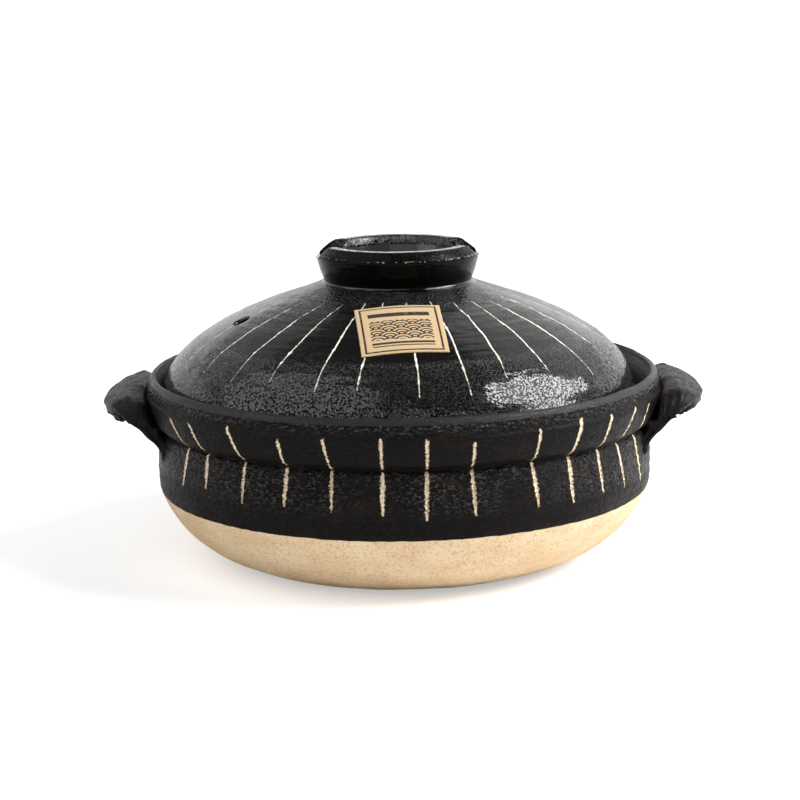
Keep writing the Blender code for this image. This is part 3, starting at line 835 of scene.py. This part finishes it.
def makeLid(d, glaze):
    # path: the pad under the knob, the dome, the rolled edge, the seat, and the hollow underneath
    axis, pad, hollow = d["axis"][0], d["padHeight"], d["padHeight"] - d["wall"]
    seat, soft = d["seatInner"], d["seatRound"]
    rolled = smoothPath(d["edge"], 12)
    inner = (domeLine - outwards(domeLine) * d["wall"])[::-1]
    inner = inner[(inner[:, 0] < seat - soft) & (inner[:, 1] > d["seatHeight"] + 2.6)]
    foot = bend((seat, d["seatHeight"] + soft), (soft, soft), 270, 180, 5)
    path = joinPaths(
        evenPath([(5.0, pad), domeLine[0]], 6.5), evenPath(domeLine, 0.82), evenPath(rolled, 0.8),
        foot, evenPath(inner, 3.4), [(22.0, hollow), (6.0, hollow)])
    radii, heights = path.T
    marks = allLidMarks()
    outer = (np.arange(len(path)) < len(path) - 4) & (heights > domeHeight(radii) - 2.0)
    centres = lidMarkCentres(marks, np.where(outer, radii, 115.0))
    angles = markColumns(np.maximum(radii, 46.0), centres, d["offsets"], [7] * len(marks))
    scored = np.where(outer[:, None], lidMarkEdge(angles, radii), unscored)
    # relief: throwing ridges, uneven clay and the lines' grooves
    uneven = partial(lumps, angles / 360.0, (np.arange(len(path)) / len(path))[:, None])
    run = pathRun(path)[:, None]
    face = (outer * rise(radii, 44.0, 52.0))[:, None]
    ridges = np.sin(run / 0.9 + 1.6 * uneven(6, 8, 41)) + 0.6 * np.sin(run / 0.47 + 2.0 * uneven(8, 9, 42))
    push = face * (d["ridge"] * ridges + 0.16 * uneven(40, 34, 43) + 0.07 * uneven(150, 110, 44))
    push -= d["scoreDepth"] * rise(-scored, -0.1, 0.5)
    grid = turnedSurface(path, angles, push)
    grid[..., 0] += axis
    shell = addMesh("shell", *withPoles(grid, (axis, 0.0, pad), (axis, 0.0, hollow)))
    points, faces = cutOut(shell, steamCutter(d))
    # the cut renumbers the points, so each one's distance to a line is worked out again
    x, y, z = (points - d["axis"]).T
    away = np.hypot(x, y)
    nearest = lidMarkEdge(np.degrees(np.arctan2(x, -y))[:, None], away)[:, 0]
    edge = np.where(z > domeHeight(away) - 0.9, np.clip(nearest, -3.0, unscored), unscored)
    pieceFrom("lid_shell", points, faces, "lid", [glaze], "lid_dome", None, edge)


def lidGlazeMaterial(d):
    # black iron glaze, glossy: smooth on the middle of the dome, sandy towards the edge, where the
    # grit under it breaks up each reflection; pale clay along the scored lines
    made, add = startMaterial("black iron glaze, glossy")
    place = objectPlace(add, d["axis"])
    polar, away = aroundAxis(add, place, 70.0)
    skin = blotched(add, polar, 18.0, 0.55, 0.85, "#070606", "#13100e", 4.0, 0.6)
    bared = add("MapRange", [tornEdge(add, place, 1.3, 1.1), 0.10, -0.10])
    pale = blotched(add, place, 2.6, 0.3, 0.6, "#dccdb0", "#f4efe2")
    colour = add("Mix", {0: bared, 6: skin, 7: pale}, **rgba)

    # relief: grit near the edge and round the knob, faint orange peel between
    sand = add("Math MAXIMUM", [zone(add, away, 60.0, 50.0, 0.0, 0.3), zone(add, away, 97.0, 107.0)])
    sand = add("Math MULTIPLY", [sand, patches(add, place, 30.0, 0.3, 0.6, least=0.5)])
    depth = add("MapRange", [sand, 0.0, 1.0, 0.03, 1.0])
    pits = 0.40, 0.52, 1.0, 0.5  # the noise's step, detail and roughness
    normal = grit(add, polar, 4.5, 0.07)
    normal = grit(add, place, 1.1, 1.05, normal, depth, *pits)
    roughness = add("Mix", {0: bared, 2: add("MapRange", [sand, 0.0, 1.0, 0.17, 0.12]), 3: 0.85})
    # the same pits hold less shine than the glaze between them
    flats = patches(add, place, 1.1, *pits, -0.44, 0.16)
    return shade(made, colour, roughness, normal, add("Math MULTIPLY_ADD", [flats, depth, 0.5]))


makeLid(lid, lidGlazeMaterial(lid))


# Knob: a flaring ring that the lid is lifted by, notched along the handles' line

knob = {
    # its closed section. Outside, downwards: a broad crest, the bevel to a soft arris, the widest
    # ring, the flared wall and a small fillet of glaze at the foot
    "outside": [
        (31.8, 158.45), (32.8, 159.15), (34.9, 159.3), (37, 159.25), (38, 158.95), (38.7, 158.3),
        (40.1, 156.8), (41.3, 155.4), (41.8, 154.8), (42, 153.9), (41.75, 152.8), (41.1, 150.5),
        (39.8, 145.8), (38.35, 141.8), (38.3, 141), (38.55, 140.5), (39.2, 139.9742), (40.5, 139.0059)],
    "under": [(39, 138.9), (28, 139.2)],
    "inside": [(26.8, 140.4), (27.8, 142.4), (30.4, 155.1), (31.8, 158.45)],
    "top": 159.3, "arris": 154.9,
    "shift": 0.6,  # the ring sits a little to the right of the lid's axis
    # a notch's half width, its depth, and how far it climbs to the crest on the near and far side
    "notchHalf": 12, "notchDepth": 5, "notchNear": 2.2, "notchFar": 8.2,
    "sharp": 4,  # how tightly the crest turns into a notch
    "streak": 0.30, "wobble": 0.08,
}


def makeKnob(k, bright, dull):
    path = np.vstack([smoothPath(k["outside"], 5), k["under"], smoothPath(k["inside"], 8)[:-1]])
    # columns every 0.4 degrees across a notch and every 1.6 between them
    quarter = np.concatenate([np.arange(0.0, 34.0, 0.4), np.arange(34.0, 90.0, 1.6)])
    half = np.concatenate([90.0 - quarter, 90.0 + quarter, [180.0]])
    base = np.unique(np.round(np.concatenate([half, half + 180.0, [0.0]]), 3))
    base = base[base < 360.0]
    angles = np.tile(base, (len(path), 1))
    uneven = partial(lumps, angles / 360.0, (np.arange(len(path)) / len(path))[:, None])
    outer = rise(path[:, :1], 30.0, 37.0)
    grid = turnedSurface(path, angles, (0.08 * uneven(24, 12, 51) + 0.05 * uneven(80, 40, 52)) * outer)
    grid[..., 2] += k["wobble"] * rise(path[:, 1:], 150.0, 158.0) * np.sin(2 * np.radians(angles) + 1.0)
    # a notch's floor is level as far as notchHalf from the middle, then climbs to the crest: steeply
    # on the near side, gently on the far side. The wire that cut it left streaks along the climb.
    x, y, z = np.moveaxis(grid, 2, 0)
    away = np.hypot(x, y)
    climb = np.where(y > 0, (y - k["notchHalf"]) / k["notchFar"], (-y - k["notchHalf"]) / k["notchNear"])
    streaks = lumps(0 * away, away / 45.0 + 0.02 * (x > 0), 1, 64, 53)
    limit = k["top"] - k["notchDepth"] + 0.035 * (away - 36.0) + k["streak"] * streaks
    limit += (k["notchDepth"] + 1.0) * np.maximum(climb, -0.02 * (away - 30.0))
    # the lower of the two heights, rounded where they meet: -log(exp(-s z) + exp(-s limit)) / s
    grid[..., 2] = -np.logaddexp(-k["sharp"] * z, -k["sharp"] * limit) / k["sharp"]
    grid[..., 0] += lid["axis"][0] + k["shift"]
    side = (path[:, 0] > 37.3) & (path[:, 1] > lid["padHeight"] + 0.9)
    pieceFrom(
        "knob_ring", grid.reshape(-1, 3), gridFaces(*grid.shape[:2], True), "lid", [bright, dull],
        "lid_knob", side.astype(int).repeat(len(base)))


def knobGlazeMaterial(k, name, sheen):
    # thick glossy black glaze: it broke to pale pinholes along the arris, and is grainy above it
    made, add = startMaterial(name)
    place = objectPlace(add, lid["axis"])
    polar, away = aroundAxis(add, place, 30.0)
    height, arris = add("SeparateXYZ", [place], 2), k["arris"]
    worn = patches(add, place, 2.0, 0.56, 0.62, 2.0, 0.6)
    ends = (height, arris - 0.45, arris - 0.2), (height, arris + 0.45, arris + 0.2), (away, 39.0, 40.0)
    for end in ends:
        worn = add("Math MULTIPLY", [worn, zone(add, *end)])
    skin = blotched(add, polar, 14.0, 0.5, 0.8, "#040404", "#0b0908", 3.0)
    colour = add("Mix", {0: worn, 6: skin, 7: "#8d867a"}, **rgba)
    bevel = zone(add, height, arris - 0.5, arris + 0.8, 0.02)
    normal = grit(add, polar, 1.1, 0.26, share=bevel, low=0.38, high=0.56)
    normal = grit(add, polar, 6.0, 0.06, normal)
    return shade(made, colour, 0.12, normal, sheen)


# the crest and the foot shine; the bevel and the wall under it are deep black
makeKnob(knob, knobGlazeMaterial(knob, "black iron glaze, thick and bright", 0.50),
         knobGlazeMaterial(knob, "black iron glaze, thick and deep", 0.07))


# Label: a small sheet of kraft paper stuck on the front of the dome, printed with a plain
# rule, bars and a panel of overlapping waves

label = {
    "width": 41.8, "length": 42.6, "radius": 72.6, "angle": 1.4, "turn": 4.2,
    "under": 0.12, "top": 0.62, "squares": 72, "curl": 0.35,
    "paper": "#bca27b", "fibre": "#a27c55", "ink": "#17120f",
    "wave": 6,  # radius of one wave
    # printed rectangles: height of the middle, half the width and half the height
    "panel": (-2, 15, 8.6),
    "bars": ((12.2, 15, 1.9), (-13.4, 15, 0.8), (-15.6, 15, 0.4)),
    "rule": ((0, 18.9, 19.9), (0, 17.9, 18.9)),  # its outer and its inner edge
}


def makeLabel(s, paper):
    # a rectangle turned in its own plane and laid on the dome: each point is moved out along the
    # dome's normal, once for the printed side and once for the underside
    n = s["squares"] + 1
    u, v = np.meshgrid(np.linspace(-0.5, 0.5, n), np.linspace(0.5, -0.5, n))
    turn, angle = math.radians(s["turn"]), math.radians(s["angle"])
    across, down = u * s["width"], -v * s["length"]
    across, down = (
        across * math.cos(turn) + down * math.sin(turn), down * math.cos(turn) - across * math.sin(turn))
    away = s["radius"] + down[..., None] / math.hypot(1.0, domeFall(s["radius"], 2.4))
    spot = away * (math.sin(angle), -math.cos(angle))
    spot += across[..., None] * (math.cos(angle), math.sin(angle))
    away = np.linalg.norm(spot, axis=2, keepdims=True)
    normal = np.concatenate([spot / away * domeFall(away, 2.4), np.ones((n, n, 1))], axis=2)
    normal /= np.linalg.norm(normal, axis=2, keepdims=True)
    ground = np.concatenate([spot, domeHeight(away)], axis=2) + lid["axis"]
    lifted = s["curl"] * (np.abs(2 * u) ** 5 * np.abs(2 * v) ** 3)[..., None]
    points = np.vstack([(ground + normal * (s[side] + lifted)).reshape(-1, 3) for side in ("top", "under")])
    # squares on both sides, less the cells that close the grid around, and a band between
    face = np.reshape(gridFaces(n, n), (n - 1, n, 4))[:, :-1].reshape(-1, 4)
    number = np.arange(n * n).reshape(n, n)
    ring = np.concatenate([number[0, :-1], number[:-1, -1], number[-1, :0:-1], number[:0:-1, 0]])
    beside = np.roll(ring, -1)
    sides = np.column_stack([ring, beside, beside + n * n, ring + n * n])
    faces = np.vstack([face, face[:, ::-1] + n * n, sides]).tolist()
    mesh = pieceFrom("kraft_label", points, faces, "lid", [paper], "paper_label").data
    corners = np.zeros(len(mesh.loops), int)
    mesh.loops.foreach_get("vertex_index", corners)
    place = np.column_stack([u.ravel() + 0.5, v.ravel() + 0.5])[corners % (n * n)]
    mesh.uv_layers.new(name="sheet").data.foreach_set("uv", place.ravel())


def waveRings(add, x, y, radius):
    # overlapping waves: circles a radius wide and half a radius apart upwards, every other row set
    # over by one radius. The lowest circle that covers a point is the one seen, drawn as rings.
    across, up = add("Math DIVIDE", [x, radius]), add("Math DIVIDE", [y, radius])
    lowest = add("Math CEIL", [add("Math MULTIPLY_ADD", [up, 2.0, -2.0])])
    seen = 1.0
    for row in (3.0, 2.0, 1.0, 0.0):
        number = add("Math ADD", [lowest, row])
        aside = add("Math PINGPONG", [add("Math ADD", [across, number]), 1.0])
        above = add("Math MULTIPLY_ADD", [number, -0.5, up])
        far = add("VectorMath LENGTH", [add("CombineXYZ", [aside, above])], 1)
        seen = add("Mix", {0: add("Math LESS_THAN", [far, 1.0]), 2: seen, 3: far})
    ring = add("Math FRACT", [add("Math MULTIPLY", [seen, 3.0])])
    return add("Math GREATER_THAN", [ring, 0.54])


def inked(add, x, y, height, wide, tall):
    # a rectangle of ink: 1 within half its width and half its height of its middle
    across, up = add("Math COMPARE", [x, 0.0, wide]), add("Math COMPARE", [y, height, tall])
    return add("Math MULTIPLY", [across, up])


def kraftMaterial(s):
    # kraft paper, uncoated: matt, with short fibres, and black ink that soaked in
    made, add = startMaterial("kraft paper, printed")
    sheet = add("Mapping", {
        0: add("UVMap", uv_map="sheet"), 1: (-s["width"] / 2, -s["length"] / 2, 0.0),
        3: (s["width"], s["length"], 1.0)})
    axes = add("SeparateXYZ", [sheet])[0]
    x, y = (axes, 0), (axes, 1)
    ink = add("Math MULTIPLY", [waveRings(add, x, y, s["wave"]), inked(add, x, y, *s["panel"])])
    for bar in s["bars"]:
        ink = add("Math MAXIMUM", [ink, inked(add, x, y, *bar)])
    rule = add("Math SUBTRACT", [inked(add, x, y, *edge) for edge in s["rule"]])
    ink = add("Math MAXIMUM", [ink, rule])
    place = objectPlace(add)
    ink = add("Math MULTIPLY", [ink, patches(add, place, 0.9, 0.24, 0.40, 3.0)])
    paper = blotched(add, place, 0.8, 0.50, 0.75, s["paper"], s["fibre"], 4.0, 0.65, 0.5)
    colour = add("Mix", {0: ink, 6: paper, 7: s["ink"]}, **rgba)
    return shade(made, colour, 0.86, grit(add, place, 0.7, 0.04, detail=3.0))


makeLabel(label, kraftMaterial(label))
